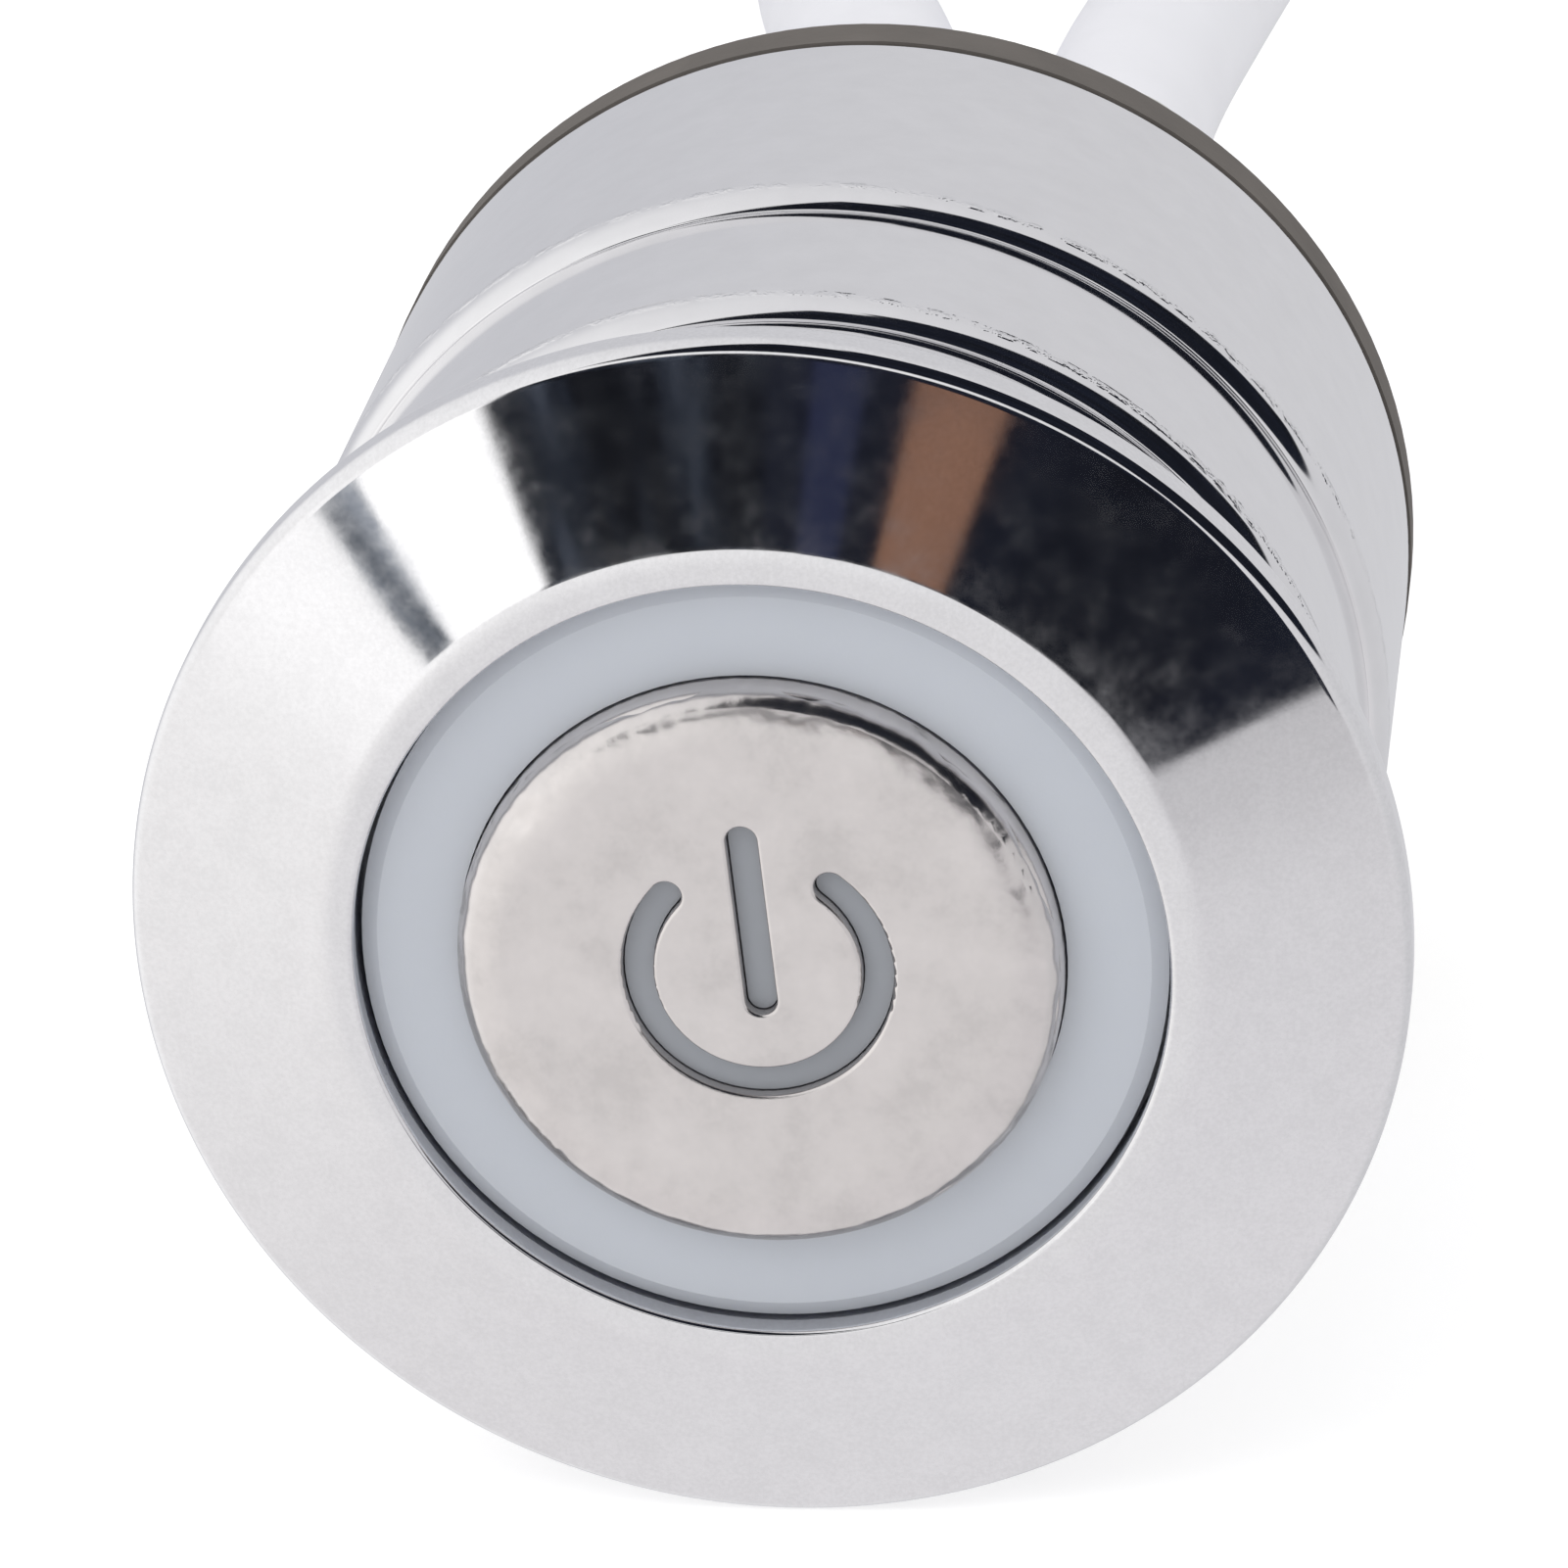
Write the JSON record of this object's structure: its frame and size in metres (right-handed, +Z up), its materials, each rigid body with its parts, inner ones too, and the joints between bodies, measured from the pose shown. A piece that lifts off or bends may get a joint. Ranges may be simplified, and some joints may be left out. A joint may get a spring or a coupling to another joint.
{
  "type": "touch switch",
  "caption": "Round panel touch switch: coned chrome bezel, grey light ring, nickel touch button with a power symbol, stepped chrome body, gasket, threaded stem with nut, and twin white leads.",
  "frame": {"origin": "centre of the gasket's rear face, where the switch seats on its panel", "axes": "+Y along the axis from the face towards the leads, +Z up across the power symbol, +X to the right seen from the front"},
  "size_m": [0.059, 0.2862, 0.038],
  "materials": {
    "chrome": "polished",
    "button_nickel": "satin, slightly stained",
    "guide_plastic": "satin, translucent",
    "baffle_plastic": "matte",
    "board": "satin solder mask",
    "led": "clear resin",
    "spring_brass": "bright",
    "header_plastic": "matte",
    "pin_brass": "bright",
    "chip_plastic": "matte",
    "can_aluminium": "satin",
    "resistor_body": "satin",
    "capacitor_body": "satin",
    "seal_rubber": "matte",
    "gasket_rubber": "matte",
    "cap_plastic": "fine grained",
    "stem_nickel": "threaded",
    "fastener_steel": "satin",
    "nut_nickel": "satin",
    "clamp_plastic": "matte",
    "lead_sheath": "satin",
    "brown_core": "satin",
    "blue_core": "satin",
    "tie_nylon": "satin",
    "boot_rubber": "matte",
    "connector_plastic": "satin",
    "contact_metal": "bright"
  },
  "bodies": {
    "root": {"bezel": "chrome", "front_sleeve": "chrome", "rear_sleeve": "chrome", "touch_button": "button_nickel", "light_guide": "guide_plastic", "light_baffle": "baffle_plastic", "led_board": "board", "control_board": "board", "leds": "led", "touch_spring": "spring_brass", "board_spacer": "baffle_plastic", "pin_header": "header_plastic", "header_pins": "pin_brass", "touch_chip": "chip_plastic", "power_transistors": "chip_plastic", "smoothing_capacitor": "can_aluminium", "chip_resistors": "resistor_body", "chip_capacitors": "capacitor_body", "skirt_seal": "seal_rubber", "sleeve_seal": "seal_rubber", "cap_seal": "seal_rubber", "rear_cap": "cap_plastic", "threaded_stem": "stem_nickel", "cap_screws": "fastener_steel", "gasket": "gasket_rubber", "washer": "fastener_steel", "nut": "nut_nickel", "cord_clamp": "clamp_plastic", "clamp_screws": "fastener_steel", "supply_sheath": "lead_sheath", "load_sheath": "lead_sheath", "brown_cores": "brown_core", "blue_cores": "blue_core", "cord_boot": "boot_rubber", "supply_lead": "lead_sheath", "load_lead": "lead_sheath", "cord_ties": "tie_nylon", "supply_connector": "connector_plastic", "load_connector": "connector_plastic", "supply_contacts": "contact_metal", "load_contacts": "contact_metal"}
  },
  "joints": []
}
